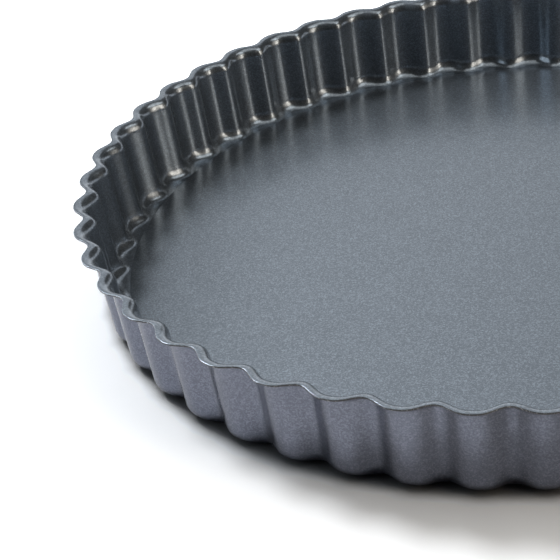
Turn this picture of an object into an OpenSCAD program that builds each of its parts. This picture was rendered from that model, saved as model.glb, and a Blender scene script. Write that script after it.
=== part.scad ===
// Fluted tart tin with a loose base, pressed from thin steel sheet.
// The frame has its origin on the table under the middle of the tin, with +Z up.
// One flute valley lies on +X, and the others are spaced evenly round the axis.

/* [Rim] */
// Diameter of the rim across its outward curves
rim_d = 280; // [240:1:320]
// Height of the tin from the table to the top of the rim
height = 31; // [22:0.5:36]
// Width of the flat band along the edge of the lip
lip_flat = 0.3; // [0.2:0.1:2]
// Radius of the bend from the wall to the lip, on its upper face
lip_bend_r = 4; // [1.5:0.1:5]

/* [Flutes] */
// Number of flutes round the wall
flutes = 48; // [36:1:50]
// Depth of a flute at the rim
rim_flute_depth = 3.3; // [1:0.1:4]
// Depth of a flute at the foot of the wall
foot_flute_depth = 3.2; // [0.5:0.1:4]
// Narrowness of the valleys: at 1 they are as broad as the outward curves
valley_narrowness = 1.4; // [1:0.1:2.5]

/* [Wall] */
// Thickness of the sheet of the wall and the ledge
sheet_t = 0.5; // [0.3:0.05:1]
// Lean of the wall from upright, in degrees
wall_lean = 4; // [2:0.5:12]
// Radius of the bend from the wall to the ledge, on its inner face
foot_bend_r = 5; // [3:0.5:7]

/* [Base] */
// Thickness of the loose base
base_t = 0.6; // [0.4:0.1:1.2]
// Gap between the edge of the base and the foot of the flutes
base_gap = 0.5; // [0.3:0.1:2]
// Width of the ledge under the edge of the base
seat_w = 8; // [4:0.5:16]

/* [Hidden] */

// Share of the foot's flute depth that is left where the bend meets the ledge
foot_fade_share = 0.6;
// Points that each flute has round the ring
flute_steps = 6;
// Straight pieces that make up each bend
foot_steps = 3;
lip_steps = 3;
// Sides of the round shapes
round_sides = 180;

rim_r = rim_d / 2;
// Middle of the lip's bend, and of the bend at the foot, at a flute's outward curve
lip_c_r = rim_r - lip_flat;
lip_c_z = height - lip_bend_r;
foot_c_z = sheet_t + foot_bend_r;
// Ends of the straight part of the wall, on its inner face
wall_top_r = lip_c_r - lip_bend_r * cos(wall_lean);
wall_top_z = lip_c_z + lip_bend_r * sin(wall_lean);
wall_foot_z = foot_c_z - foot_bend_r * sin(wall_lean);
wall_foot_r = wall_top_r - (wall_top_z - wall_foot_z) * tan(wall_lean);
foot_c_r = wall_foot_r - foot_bend_r * cos(wall_lean);
// Turn of each bend, from level to the wall
bend_turn = 90 - wall_lean;

base_r = foot_c_r - foot_fade_share * foot_flute_depth - base_gap;
seat_r = base_r - seat_w;
columns = flutes * flute_steps;

// How far a flute is pressed in at an angle: 1 in a valley, 0 on the broad outward curve
function press(angle) = pow((1 + cos(flutes * angle)) / 2, valley_narrowness);

// Flute depth along the bend at the foot, which fades towards the ledge
function foot_depth(turn) =
    foot_flute_depth * (foot_fade_share + (1 - foot_fade_share) * sin(turn) / sin(bend_turn));

// One face of the sheet as [radius, height, flute depth], from the ledge up to the edge of the lip.
// The face lies skin below or outside the inner face, so skin is 0 or the thickness of the sheet.
function face_profile(skin) = concat(
    [[seat_r, sheet_t - skin, 0]],
    [for (i = [0 : foot_steps])
        let (turn = bend_turn * i / foot_steps, r = foot_bend_r + skin)
        [foot_c_r + r * sin(turn), foot_c_z - r * cos(turn), foot_depth(turn)]],
    [for (i = [0 : lip_steps])
        let (turn = bend_turn * (1 - i / lip_steps), r = lip_bend_r - skin)
        [lip_c_r - r * sin(turn), lip_c_z + r * cos(turn), rim_flute_depth]],
    [[rim_r, height - skin, rim_flute_depth]]
);

function reversed(list) = [for (i = [len(list) - 1 : -1 : 0]) list[i]];

// Closed section through the sheet: up its inner face, over the lip's edge and down its outer face
section = concat(face_profile(0), reversed(face_profile(sheet_t)));

function sheet_point(station, angle) =
    let (r = station[0] - station[2] * press(angle))
    [r * cos(angle), r * sin(angle), station[1]];

// The section swept round the axis, following the flutes
module fluted_sheet() {
    stations = len(section);
    points = [for (c = [0 : columns - 1], s = section) sheet_point(s, 360 * c / columns)];
    faces = [for (c = [0 : columns - 1], s = [0 : stations - 1])
        let (
            here = c * stations,
            there = ((c + 1) % columns) * stations,
            up = (s + 1) % stations
        )
        each [[here + s, here + up, there + up], [here + s, there + up, there + s]]];
    polyhedron(points = points, faces = faces);
}

module fluted_ring() {
    color("#64677a") fluted_sheet();
}

// Flat disc that lies on the ledge and lifts out with the tart
module loose_base() {
    color("#737a80") translate([0, 0, sheet_t])
        cylinder(h = base_t, r = base_r, $fn = round_sides);
}

fluted_ring();
loose_base();
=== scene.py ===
"""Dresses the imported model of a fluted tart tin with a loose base, in a plain studio."""

import logging
import math
from dataclasses import dataclass, field, replace
from enum import Enum
from typing import Callable, NamedTuple

import bmesh
import bpy
from mathutils import Matrix, Vector


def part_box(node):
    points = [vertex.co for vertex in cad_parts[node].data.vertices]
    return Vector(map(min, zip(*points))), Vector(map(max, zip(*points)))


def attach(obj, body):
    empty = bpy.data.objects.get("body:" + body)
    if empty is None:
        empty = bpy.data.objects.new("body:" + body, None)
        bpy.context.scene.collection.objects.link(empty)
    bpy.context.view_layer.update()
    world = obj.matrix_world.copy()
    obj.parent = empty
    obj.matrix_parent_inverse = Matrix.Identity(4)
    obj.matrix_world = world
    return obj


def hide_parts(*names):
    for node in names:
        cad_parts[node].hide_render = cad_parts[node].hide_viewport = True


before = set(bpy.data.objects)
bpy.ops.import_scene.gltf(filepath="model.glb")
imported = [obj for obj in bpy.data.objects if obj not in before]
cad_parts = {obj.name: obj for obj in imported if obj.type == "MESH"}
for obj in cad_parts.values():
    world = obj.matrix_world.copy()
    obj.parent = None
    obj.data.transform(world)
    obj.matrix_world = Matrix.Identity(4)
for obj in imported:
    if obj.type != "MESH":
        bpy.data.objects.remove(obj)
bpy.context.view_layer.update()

LOG = logging.getLogger("tart_tin")
MM = 0.001
# Watts per square metre of a lamp whose brightness is 1
WATTS_PER_AREA = 4.0
# How far a vertex may lie from a circle's height and radius and still be on it
HEIGHT_SLACK = 1e-7
RADIUS_SLACK = 1e-6
# Least part of a level face's normal that points straight up or down
LEVEL_PART = 0.9
# Turn between two faces past which their edge is rounded, and past which it is shaded as sharp
ROUND_ANGLE = math.radians(60.0)
SHARP_ANGLE = math.radians(50.0)
# Places of the share, the two colours and the result among the Mix node's sockets
MIX_SHARE, MIX_FIRST, MIX_SECOND, MIX_RESULT = 0, 6, 7, 2

Color = tuple[float, float, float]
WHITE: Color = (1.0, 1.0, 1.0)
WARM: Color = (1.0, 0.84, 0.67)
PALE_WARM: Color = (1.0, 0.97, 0.9)
COOL: Color = (0.88, 0.96, 1.0)


class Face(Enum):
    """The sides of the ring's sheet, in the order of its material slots."""

    INSIDE = 0
    OUTSIDE = 1
    CUT_EDGE = 2


class Socket:
    """A value in a node tree that adds Math nodes when Python's operators are used on it."""

    def __init__(self, nodes: "NodeMaker", socket: bpy.types.NodeSocket) -> None:
        """Keeps the socket and the maker of its tree."""
        self.nodes = nodes
        self.socket = socket

    def _math(self, operation: str, *values: "Socket | float") -> "Socket":
        """Adds one Math node, with its inputs in order, and gives its result."""
        inputs = dict(enumerate(values))
        return self.nodes.add("ShaderNodeMath", {"operation": operation}, inputs).out()

    def __add__(self, other: "Socket | float") -> "Socket":
        """Sum."""
        return self._math("ADD", self, other)

    __radd__ = __add__

    def __sub__(self, other: "Socket | float") -> "Socket":
        """Difference."""
        return self._math("SUBTRACT", self, other)

    def __rsub__(self, other: "Socket | float") -> "Socket":
        """Difference from a number."""
        return self._math("SUBTRACT", other, self)

    def __mul__(self, other: "Socket | float") -> "Socket":
        """Product."""
        return self._math("MULTIPLY", self, other)

    __rmul__ = __mul__

    def __pow__(self, other: "Socket | float") -> "Socket":
        """Power."""
        return self._math("POWER", self, other)

    def above(self, low: float, high: float) -> "Socket":
        """Rises smoothly from 0 at low to 1 at high.

        Args:
            low: The value at which the result leaves 0.
            high: The value at which it reaches 1.

        Returns:
            The rising share.
        """
        ranged = self.nodes.add(
            "ShaderNodeMapRange",
            {"interpolation_type": "SMOOTHSTEP"},
            {"Value": self, "From Min": low, "From Max": high},
        )
        return ranged.out()


class Node:
    """A node that was added to a tree."""

    def __init__(self, nodes: "NodeMaker", node: bpy.types.Node) -> None:
        """Keeps the node and the maker of its tree."""
        self.nodes = nodes
        self.node = node

    def out(self, name: str | int = 0) -> Socket:
        """One of the node's outputs."""
        return Socket(self.nodes, self.node.outputs[name])


class NodeMaker:
    """Adds nodes to one material or world."""

    noise_detail: float = 2.0
    noise_roughness: float = 0.5
    noise_mean: float = 0.5

    def __init__(self, tree: bpy.types.NodeTree) -> None:
        """Empties the tree and keeps it."""
        self.tree = tree
        tree.nodes.clear()

    def add(self, kind: str, settings: dict | None = None, inputs: dict | None = None) -> Node:
        """Adds a node, sets its settings and fills its inputs.

        Args:
            kind: The node's type.
            settings: Its properties, which are set first.
            inputs: Values or links for its sockets, by name or place.

        Returns:
            The new node.
        """
        node = self.tree.nodes.new(kind)
        for name, value in (settings or {}).items():
            setattr(node, name, value)
        for name, value in (inputs or {}).items():
            if isinstance(value, Node):
                value = value.out()
            if isinstance(value, Socket):
                self.tree.links.new(value.socket, node.inputs[name])
            else:
                node.inputs[name].default_value = value
        return Node(self, node)

    def place(self) -> Socket:
        """The coordinates of the object that the material is on."""
        return self.add("ShaderNodeTexCoord").out("Object")

    def noise(self, place: Socket, grain: float) -> Socket:
        """Adds a noise whose features are about one grain across.

        Args:
            place: The coordinates that it reads.
            grain: The size of its features, in metres.

        Returns:
            The noise's value, which is about noise_mean on average.
        """
        inputs = {
            "Vector": place,
            "Scale": 1.0 / grain,
            "Detail": self.noise_detail,
            "Roughness": self.noise_roughness,
        }
        return self.add("ShaderNodeTexNoise", None, inputs).out()

    def cells(self, place: Socket, grain: float) -> Socket:
        """A random value from 0 to 1 for each cell of the surface, about one grain across."""
        cell = self.add("ShaderNodeTexVoronoi", None, {"Vector": place, "Scale": 1.0 / grain})
        return self.add("ShaderNodeSeparateColor", None, {"Color": cell.out("Color")}).out()

    def blend(self, share: Socket, first: Socket | tuple, second: Socket | tuple) -> Socket:
        """Mixes two colours, with the given share of the second."""
        inputs = {MIX_SHARE: share, MIX_FIRST: first, MIX_SECOND: second}
        return self.add("ShaderNodeMix", {"data_type": "RGBA"}, inputs).out(MIX_RESULT)

    def finish(self, surface: Node) -> None:
        """Leads a shader to the material's output."""
        self.add("ShaderNodeOutputMaterial", None, {"Surface": surface})


def opaque(color: Color, share: float = 1.0) -> tuple[float, ...]:
    """The colour times a share, with an alpha of 1."""
    return tuple(part * share for part in color) + (1.0,)


def new_material(name: str) -> tuple[bpy.types.Material, NodeMaker]:
    """Starts a material whose node tree is empty.

    Args:
        name: The material's name.

    Returns:
        The material, and the maker of its nodes.
    """
    made = bpy.data.materials.new(name)
    made.use_nodes = True
    return made, NodeMaker(made.node_tree)


@dataclass(frozen=True)
class Coating:
    """A sprayed non-stick coating: a smooth top over fine bright flakes, with a faint orange peel."""

    name: str
    color: Color
    flake_color: Color
    metallic: float
    # Roughness of the smooth top and of the rougher coat under it, and the share of the latter
    top_roughness: float
    deep_roughness: float
    deep_share: float
    # Size of a flake, and how much of the flakes' colour the brightest one has
    flake_size: float
    flake_share: float
    peel_size: float
    peel_height: float
    # The higher this power is, the rarer are bright flakes
    flake_power: float = 2.0
    # Broad faint patches, and how far they change the colour and the roughness
    cloud_size: float = 16.0 * MM
    cloud_share: float = 0.08
    cloud_roughness: float = 0.04

    def material(self) -> bpy.types.Material:
        """Makes the coating's material.

        Returns:
            The new material.
        """
        made, nodes = new_material(self.name)
        place = nodes.place()
        cloud = nodes.noise(place, self.cloud_size)
        dark = opaque(self.color, 1 - self.cloud_share)
        light = opaque(self.color, 1 + self.cloud_share)
        flakes = nodes.cells(place, self.flake_size) ** self.flake_power * self.flake_share
        color = nodes.blend(flakes, nodes.blend(cloud, dark, light), opaque(self.flake_color))
        peel = nodes.noise(place, self.peel_size) * self.peel_height
        bump = nodes.add("ShaderNodeBump", None, {"Height": peel, "Distance": 1.0, "Strength": 1.0})
        patches = (cloud - nodes.noise_mean) * self.cloud_roughness
        top, deep = (
            nodes.add(
                "ShaderNodeBsdfPrincipled",
                None,
                {
                    "Base Color": color,
                    "Roughness": patches + roughness,
                    "Metallic": self.metallic,
                    "Normal": bump,
                },
            )
            for roughness in (self.top_roughness, self.deep_roughness)
        )
        nodes.finish(nodes.add("ShaderNodeMixShader", None, {0: self.deep_share, 1: top, 2: deep}))
        return made


@dataclass(frozen=True)
class CutEdge:
    """The sheared edge of the sheet, where the coating is thin and specks of steel show; its coat colour
    carries painted shade.
    """

    name: str
    # Colour of the coating on the edge, which may be darkened as painted shade
    coat: Color
    steel: Color
    speck_size: float
    # Values of the noise at which a speck starts and at which it is bare
    speck_start: float = 0.52
    speck_bare: float = 0.7
    steel_metallic: float = 0.8
    coat_roughness: float = 0.5
    steel_roughness: float = 0.35

    def material(self) -> bpy.types.Material:
        """Makes the edge's material.

        Returns:
            The new material.
        """
        made, nodes = new_material(self.name)
        bare = nodes.noise(nodes.place(), self.speck_size).above(self.speck_start, self.speck_bare)
        shader = nodes.add(
            "ShaderNodeBsdfPrincipled",
            None,
            {
                "Base Color": nodes.blend(bare, opaque(self.coat), opaque(self.steel)),
                "Metallic": bare * self.steel_metallic,
                "Roughness": self.coat_roughness - bare * (self.coat_roughness - self.steel_roughness),
            },
        )
        nodes.finish(shader)
        return made


INSIDE_COAT = Coating(
    name="inside_coat",
    color=(0.176, 0.205, 0.241),
    flake_color=(0.51, 0.60, 0.70),
    metallic=0.88,
    top_roughness=0.2,
    deep_roughness=0.45,
    deep_share=0.26,
    flake_size=0.35 * MM,
    flake_share=0.38,
    peel_size=1.2 * MM,
    peel_height=0.002 * MM,
)
BASE_COAT = replace(INSIDE_COAT, name="base_coat", top_roughness=0.25, deep_share=0.36)
OUTSIDE_COAT = Coating(
    name="outside_coat",
    color=(0.15, 0.165, 0.213),
    flake_color=(0.51, 0.54, 0.67),
    metallic=0.95,
    top_roughness=0.14,
    deep_roughness=0.45,
    deep_share=0.36,
    flake_size=0.35 * MM,
    flake_share=0.25,
    peel_size=0.9 * MM,
    peel_height=0.004 * MM,
)
RIM_EDGE = CutEdge(
    name="rim_edge",
    # Near black, darker than the coatings: painted shade under the lip, between the specks of steel
    coat=(0.045, 0.045, 0.05),
    steel=(0.25, 0.25, 0.25),
    speck_size=0.5 * MM,
)
SHEET_FINISHES = {Face.INSIDE: INSIDE_COAT, Face.OUTSIDE: OUTSIDE_COAT, Face.CUT_EDGE: RIM_EDGE}


class Modeller:
    """Short calls for modelling by operators in edit mode."""

    @staticmethod
    def clear() -> None:
        """Deselects every object."""
        bpy.ops.object.select_all(action="DESELECT")

    @staticmethod
    def edit() -> None:
        """Enters edit mode on the active object, with vertices selectable."""
        bpy.ops.object.mode_set(mode="EDIT")
        bpy.ops.mesh.select_mode(type="VERT")

    @staticmethod
    def leave() -> None:
        """Goes back to object mode."""
        bpy.ops.object.mode_set(mode="OBJECT")

    @staticmethod
    def select(keep: Callable[[Vector], bool]) -> None:
        """Selects the vertices of the edited mesh whose place passes a test.

        Args:
            keep: The test.
        """
        mesh = bmesh.from_edit_mesh(bpy.context.edit_object.data)
        for vertex in mesh.verts:
            vertex.select_set(keep(vertex.co))
        mesh.select_flush_mode()
        bmesh.update_edit_mesh(bpy.context.edit_object.data)

    @staticmethod
    def scale(share: float, height: float) -> None:
        """Moves what is selected at one height to a share of its distance from the axis."""
        bpy.ops.transform.resize(value=(share, share, 1.0), center_override=(0.0, 0.0, height))

    @staticmethod
    def modify(piece: bpy.types.Object, kind: str, **settings: object) -> None:
        """Adds a modifier and applies it.

        Args:
            piece: The object, which is active.
            kind: The modifier's type.
            settings: The modifier's properties.
        """
        modifier = piece.modifiers.new(kind.lower(), kind)
        for name, value in settings.items():
            setattr(modifier, name, value)
        bpy.ops.object.modifier_apply(modifier=modifier.name)

    @staticmethod
    def round_edges(piece: bpy.types.Object, width: float, segments: int) -> None:
        """Rounds the edges of a piece and shades its faces smooth.

        Args:
            piece: The object, which is active.
            width: The width of the rounding.
            segments: The number of faces across it.
        """
        limit = {"limit_method": "ANGLE", "angle_limit": ROUND_ANGLE}
        Modeller.modify(piece, "BEVEL", width=width, segments=segments, **limit)
        bpy.ops.object.shade_smooth_by_angle(angle=SHARP_ANGLE)


class Station(NamedTuple):
    """A circle of the sheet's inner face, at a flute's outward curve, with the flute's depth there."""

    radius: float
    height: float
    depth: float

    def holds(self, place: Vector) -> bool:
        """Whether a vertex of the wall lies on this circle, before the flutes are pressed."""
        level = abs(place.z - self.height) < HEIGHT_SLACK
        return level and abs(place.xy.length - self.radius) < RADIUS_SLACK


@dataclass
class FlutedRing:
    """The fluted wall with its lip and ledge: the sheet's inner face, which is then thickened."""

    node: str = "fluted_ring"
    body: str = "ring"
    slot: str = "ring_coating"
    flutes: int = 48
    # Depth of a flute at the rim and at the foot, and the share that is left where the ledge begins
    rim_depth: float = 3.3 * MM
    foot_depth: float = 3.2 * MM
    foot_fade: float = 0.6
    # Narrowness of the valleys: at 1 they are as broad as the outward curves
    narrowness: float = 1.4
    sheet: float = 0.5 * MM
    lean: float = math.radians(4.0)
    # Width of the flat band along the lip's edge, and radii of the inner face's two bends
    lip_flat: float = 0.3 * MM
    lip_bend: float = 4.0 * MM
    foot_bend: float = 5.0 * MM
    seat_width: float = 8.0 * MM
    # How much smaller than the CAD node the rim's radius is
    box_margin: float = 0.08 * MM
    edge_round: float = 0.1 * MM
    edge_segments: int = 2
    # Steps of one flute round the axis, and of the bends and the wall from the ledge to the lip
    flute_steps: int = 16
    foot_steps: int = 8
    wall_steps: int = 5
    lip_steps: int = 6
    rim_radius: float = field(init=False)
    height: float = field(init=False)

    def __post_init__(self) -> None:
        """Takes the rim's radius and the height from the CAD node."""
        # Along X the node is widest at an outward curve, half a flute away from the axis
        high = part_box(self.node)[1]
        self.rim_radius = high.x / math.cos(math.pi / self.flutes) - self.box_margin
        self.height = high.z

    def stations(self, seat_radius: float) -> list[Station]:
        """Works out the circles of the inner face, from the ledge up to the edge of the lip.

        Args:
            seat_radius: The radius of the ledge's opening.

        Returns:
            The stations, in order.
        """
        cos_lean, sin_lean = math.cos(self.lean), math.sin(self.lean)
        lip_r = self.rim_radius - self.lip_flat
        lip_z = self.height - self.lip_bend
        foot_z = self.sheet + self.foot_bend
        top = Vector((lip_r - self.lip_bend * cos_lean, lip_z + self.lip_bend * sin_lean))
        low_z = foot_z - self.foot_bend * sin_lean
        low = Vector((top.x - (top.y - low_z) * math.tan(self.lean), low_z))
        foot_r = low.x - self.foot_bend * cos_lean
        turn_end = math.pi / 2 - self.lean
        made = [Station(seat_radius, self.sheet, 0.0)]
        for step in range(self.foot_steps + 1):
            turn = turn_end * step / self.foot_steps
            fade = self.foot_fade + (1 - self.foot_fade) * math.sin(turn) / math.sin(turn_end)
            radius = foot_r + self.foot_bend * math.sin(turn)
            height = foot_z - self.foot_bend * math.cos(turn)
            made.append(Station(radius, height, self.foot_depth * fade))
        for step in range(1, self.wall_steps):
            share = step / self.wall_steps
            place = low.lerp(top, share)
            depth = self.foot_depth + (self.rim_depth - self.foot_depth) * share
            made.append(Station(place.x, place.y, depth))
        for step in range(self.lip_steps + 1):
            turn = turn_end * (1 - step / self.lip_steps)
            radius = lip_r - self.lip_bend * math.sin(turn)
            height = lip_z + self.lip_bend * math.cos(turn)
            made.append(Station(radius, height, self.rim_depth))
        made.append(Station(self.rim_radius, self.height, self.rim_depth))
        return made

    def press(self, step: int) -> float:
        """How far the flute is pressed in at a step from its valley: 1 there, 0 on the outward curve."""
        return ((1 + math.cos(2 * math.pi * step / self.flute_steps)) / 2) ** self.narrowness

    def step_of(self, place: Vector) -> int:
        """Finds which of a flute's steps a vertex stands on.

        Args:
            place: The vertex's place.

        Returns:
            The step, counted from the nearest valley.
        """
        turn = math.atan2(place.y, place.x) / (2 * math.pi) * self.flutes * self.flute_steps
        step = round(turn) % self.flute_steps
        return min(step, self.flute_steps - step)

    def build(self, seat_radius: float) -> bpy.types.Object:
        """Models the ring.

        Args:
            seat_radius: The radius of the ledge's opening.

        Returns:
            The finished object.
        """
        stations = self.stations(seat_radius)
        first = stations[0]
        Modeller.clear()
        bpy.ops.mesh.primitive_circle_add(
            vertices=self.flutes * self.flute_steps,
            radius=first.radius,
            location=(0.0, 0.0, first.height),
        )
        piece = bpy.context.active_object
        piece.name = "fluted_ring_sheet"
        bpy.ops.object.transform_apply(location=True)
        Modeller.edit()
        for low, high in zip(stations, stations[1:]):
            bpy.ops.mesh.select_all(action="DESELECT")
            Modeller.select(low.holds)
            rise = (0.0, 0.0, high.height - low.height)
            bpy.ops.mesh.extrude_edges_move(TRANSFORM_OT_translate={"value": rise})
            Modeller.scale(high.radius / low.radius, high.height)
        self.flute(stations)
        Modeller.leave()
        self.face_inwards(piece)
        self.coat(piece)
        Modeller.modify(
            piece,
            "SOLIDIFY",
            thickness=self.sheet,
            offset=-1.0,
            material_offset=Face.OUTSIDE.value,
            material_offset_rim=Face.CUT_EDGE.value,
        )
        Modeller.round_edges(piece, self.edge_round, self.edge_segments)
        return piece

    def flute(self, stations: list[Station]) -> None:
        """Presses the flutes into the wall, station by station and step by step.

        Args:
            stations: The circles of the unfluted wall.
        """
        mesh = bmesh.from_edit_mesh(bpy.context.edit_object.data)
        steps = {vertex.index: self.step_of(vertex.co) for vertex in mesh.verts}
        for station in stations:
            if not station.depth:
                continue
            ring = [vertex.index for vertex in mesh.verts if station.holds(vertex.co)]
            for step in range(self.flute_steps // 2 + 1):
                wanted = {index for index in ring if steps[index] == step}
                for vertex in mesh.verts:
                    vertex.select_set(vertex.index in wanted)
                mesh.select_flush_mode()
                share = 1 - station.depth * self.press(step) / station.radius
                Modeller.scale(share, station.height)

    @staticmethod
    def face_inwards(piece: bpy.types.Object) -> None:
        """Turns the sheet's faces so that they look into the tin.

        Args:
            piece: The open sheet.
        """
        Modeller.edit()
        bpy.ops.mesh.select_all(action="SELECT")
        bpy.ops.mesh.normals_make_consistent(inside=True)
        Modeller.leave()
        ledge = min(piece.data.polygons, key=lambda face: face.center.xy.length)
        if ledge.normal.z < 0:
            Modeller.edit()
            bpy.ops.mesh.select_all(action="SELECT")
            bpy.ops.mesh.flip_normals()
            Modeller.leave()

    @staticmethod
    def coat(piece: bpy.types.Object) -> None:
        """Gives the open sheet a material slot for each of its sides, in their order."""
        for side in Face:
            piece.data.materials.append(SHEET_FINISHES[side].material())

    def dress(self, piece: bpy.types.Object) -> None:
        """Gives the sheet its place in the model.

        Args:
            piece: The finished object.
        """
        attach(piece, self.body)
        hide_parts(self.node)


@dataclass
class LooseBase:
    """The flat disc that lies on the ledge."""

    node: str = "loose_base"
    body: str = "base"
    slot: str = "base_coating"
    sides: int = 288
    # Share of the radius that is a band of its own along the disc's edge
    band_share: float = 0.05
    edge_round: float = 0.15 * MM
    edge_segments: int = 3
    low: Vector = field(init=False)
    high: Vector = field(init=False)

    def __post_init__(self) -> None:
        """Takes the disc's corners from the CAD node."""
        self.low, self.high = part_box(self.node)

    @property
    def radius(self) -> float:
        """The disc's radius."""
        return self.high.x

    def build(self) -> bpy.types.Object:
        """Models the disc.

        Returns:
            The finished object.
        """
        Modeller.clear()
        thick = self.high.z - self.low.z
        bpy.ops.mesh.primitive_cylinder_add(
            vertices=self.sides,
            radius=self.radius,
            depth=thick,
            location=(0.0, 0.0, self.low.z + thick / 2),
        )
        piece = bpy.context.active_object
        piece.name = "loose_base_disc"
        bpy.ops.object.transform_apply(location=True)
        Modeller.edit()
        bpy.ops.mesh.select_mode(type="FACE")
        bpy.ops.mesh.select_all(action="DESELECT")
        mesh = bmesh.from_edit_mesh(piece.data)
        for face in mesh.faces:
            face.select_set(abs(face.normal.z) > LEVEL_PART)
        bmesh.update_edit_mesh(piece.data)
        bpy.ops.mesh.inset(thickness=self.radius * self.band_share, use_individual=True)
        Modeller.leave()
        Modeller.round_edges(piece, self.edge_round, self.edge_segments)
        return piece

    def dress(self, piece: bpy.types.Object) -> None:
        """Gives the disc its finish and its place in the model.

        Args:
            piece: The finished object.
        """
        piece.data.materials.append(BASE_COAT.material())
        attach(piece, self.body)
        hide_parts(self.node)


@dataclass
class PhotoView:
    """The camera of the photograph, placed round the tin's axis."""

    # Width of the photograph and focal length, both in its pixels, and the sensor's width in mm
    image_px: float = 560.0
    focal_px: float = 1436.2
    sensor: float = 36.0
    # Distance from the tin's axis, height above the table and turn round the axis
    distance: float = 0.4141
    height: float = 0.24116
    azimuth: float = math.radians(0.977)
    # Turn away from +Y, slope down from level and turn about the line of sight
    heading: float = math.radians(11.836)
    tilt: float = math.radians(31.333)
    roll: float = math.radians(-8.181)
    near_clip: float = 0.01

    def build(self) -> None:
        """Adds the camera and makes it the scene's own."""
        turn = (
            Matrix.Rotation(self.heading, 3, "Z")
            @ Matrix.Rotation(math.pi / 2 - self.tilt, 3, "X")
            @ Matrix.Rotation(self.roll, 3, "Z")
        )
        x = self.distance * math.sin(self.azimuth)
        y = -self.distance * math.cos(self.azimuth)
        bpy.ops.object.camera_add(location=(x, y, self.height), rotation=turn.to_euler())
        camera = bpy.context.active_object
        camera.name = "photo_camera"
        camera.data.sensor_width = self.sensor
        camera.data.lens = self.sensor * self.focal_px / self.image_px
        camera.data.clip_start = self.near_clip
        bpy.context.scene.camera = camera


@dataclass(frozen=True)
class Softbox:
    """A studio lamp that looks at the tin from a bearing round it and an angle above the table."""

    name: str
    # Bearing round the axis from +X and elevation above the table, in degrees
    bearing: float
    elevation: float
    width: float
    height: float
    brightness: float
    color: Color = WHITE
    distance: float = 1.5

    def build(self) -> None:
        """Adds the lamp."""
        bearing, elevation = math.radians(self.bearing), math.radians(self.elevation)
        level = math.cos(elevation)
        way = Vector((math.cos(bearing) * level, math.sin(bearing) * level, math.sin(elevation)))
        aim = (-way).to_track_quat("-Z", "Y").to_euler()
        bpy.ops.object.light_add(type="AREA", location=way * self.distance, rotation=aim)
        lamp = bpy.context.active_object
        lamp.name = self.name
        lamp.data.shape = "RECTANGLE"
        lamp.data.size = self.width
        lamp.data.size_y = self.height
        lamp.data.color = self.color
        lamp.data.energy = self.brightness * self.width * self.height * WATTS_PER_AREA


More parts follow.
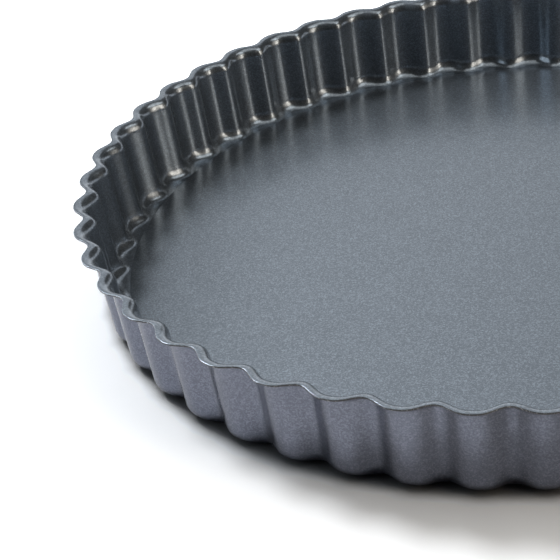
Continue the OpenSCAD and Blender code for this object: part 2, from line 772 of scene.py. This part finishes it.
@dataclass
class Studio:
    """The white table, the surroundings and the lamps."""

    table_side: float = 6.0
    # The table's colour in the light that it reflects, and as the camera sees it
    table_color: Color = (0.85, 0.85, 0.85)
    seen_color: Color = (0.94, 0.965, 1.0)
    # The table's own glow, except within the painted shade beside the tin
    near_glow: float = 0.07
    # Painted contact shadow beside the tin: its reach, its colour as a share of seen_color, and how
    # open the table is where that painted shade is full and where it has ended
    contact_reach: float = 8.0 * MM
    contact_samples: int = 8
    painted_contact_shade: float = 0.16
    contact_low: float = 0.4
    contact_high: float = 0.8
    # Distances from the tin's axis over which the table turns white, to the camera and in gloss
    seen_start: float = 0.14
    seen_end: float = 0.24
    glow_start: float = 0.35
    glow_end: float = 1.2
    # Light of the surroundings where they aren't white
    sky_strength: float = 0.015
    # Upward part of a ray at which the backdrop in the gloss starts to fade, and upward or
    # backward part at which its fades end
    backdrop_top: float = 0.12
    backdrop_end: float = 0.3
    lamps: tuple[Softbox, ...] = (
        Softbox("key_lamp", 151.0, 49.0, 0.34, 0.34, 37.0),
        Softbox("window", 143.0, 36.0, 1.1, 0.9, 1.2),
        Softbox("left_panel", 190.0, 28.0, 0.8, 1.0, 1.1, COOL),
        Softbox("back_panel", 94.5, 28.0, 0.66, 1.0, 0.69),
        Softbox("back_side_panel", 113.5, 28.0, 0.32, 1.0, 0.12),
        Softbox("back_top_panel", 96.0, 52.0, 0.7, 0.35, 0.25),
        Softbox("side_strip", 335.0, 26.0, 0.4, 1.05, 3.6, WARM),
        Softbox("side_panel", 352.0, 28.0, 0.4, 1.1, 0.7, WARM),
        Softbox("low_top_panel", 0.0, 62.0, 0.8, 0.5, 1.8, PALE_WARM),
        Softbox("top_panel", 0.0, 88.0, 0.8, 0.8, 0.8, PALE_WARM),
    )

    def build(self) -> None:
        """Adds the table, the world and the lamps."""
        Modeller.clear()
        bpy.ops.mesh.primitive_plane_add(size=self.table_side)
        table = bpy.context.active_object
        table.name = "table"
        table.data.materials.append(self.table_material())
        self.build_world()
        for lamp in self.lamps:
            lamp.build()
        bpy.context.scene.view_settings.view_transform = "Standard"

    def table_material(self) -> bpy.types.Material:
        """Makes the table's material: pale, with painted shade beside the tin, and plain white further
        out.

        Returns:
            The new material.
        """
        made, nodes = new_material("white_table")
        ray = nodes.add("ShaderNodeLightPath")
        camera, glossy = ray.out("Is Camera Ray"), ray.out("Is Glossy Ray")
        # Painted shade: the table darkens where ambient occlusion finds the tin close by, as its contact
        # shadow
        contact = nodes.add(
            "ShaderNodeAmbientOcclusion",
            {"samples": self.contact_samples},
            {"Distance": self.contact_reach},
        )
        open_share = contact.out("AO").above(self.contact_low, self.contact_high)
        clear = nodes.blend(camera, opaque(self.table_color), opaque(self.seen_color))
        color = nodes.blend(open_share, opaque(self.seen_color, self.painted_contact_shade), clear)
        paint = nodes.add("ShaderNodeBsdfDiffuse", None, {"Color": color})
        inputs = {0: nodes.place()}
        away = nodes.add("ShaderNodeVectorMath", {"operation": "LENGTH"}, inputs).out("Value")
        seen = camera * away.above(self.seen_start, self.seen_end)
        mirrored = glossy * away.above(self.glow_start, self.glow_end)
        near = (camera + glossy) * open_share * self.near_glow
        glow = nodes.add("ShaderNodeEmission", None, {"Strength": seen + mirrored + near})
        nodes.finish(nodes.add("ShaderNodeAddShader", None, {0: paint, 1: glow}))
        return made

    def build_world(self) -> None:
        """Makes the surroundings: white to the camera, and in gloss only low and behind the tin."""
        world = bpy.data.worlds.new("studio")
        bpy.context.scene.world = world
        world.use_nodes = True
        nodes = NodeMaker(world.node_tree)
        ray = nodes.add("ShaderNodeLightPath")
        way = nodes.add("ShaderNodeTexCoord").out("Generated")
        split = nodes.add("ShaderNodeSeparateXYZ", None, {0: way})
        low = 1.0 - split.out("Z").above(self.backdrop_top, self.backdrop_end)
        backdrop = low * split.out("Y").above(0.0, self.backdrop_end)
        bounced = ray.out("Is Glossy Ray") + ray.out("Is Transmission Ray")
        seen = ray.out("Is Camera Ray") + bounced * backdrop
        strength = seen + (1.0 - seen) * self.sky_strength
        inputs = {"Color": opaque(WHITE), "Strength": strength}
        glow = nodes.add("ShaderNodeBackground", None, inputs)
        nodes.add("ShaderNodeOutputWorld", None, {"Surface": glow})


def main() -> None:
    """Builds the view, the studio and the two pieces."""
    logging.basicConfig(level=logging.INFO, format="%(name)s: %(message)s")
    PhotoView().build()
    Studio().build()
    base = LooseBase()
    disc = base.build()
    base.dress(disc)
    LOG.info("%s: %d faces", disc.name, len(disc.data.polygons))
    ring = FlutedRing()
    sheet = ring.build(base.radius - ring.seat_width)
    ring.dress(sheet)
    LOG.info("%s: %d faces", sheet.name, len(sheet.data.polygons))


if __name__ == "__main__":
    main()
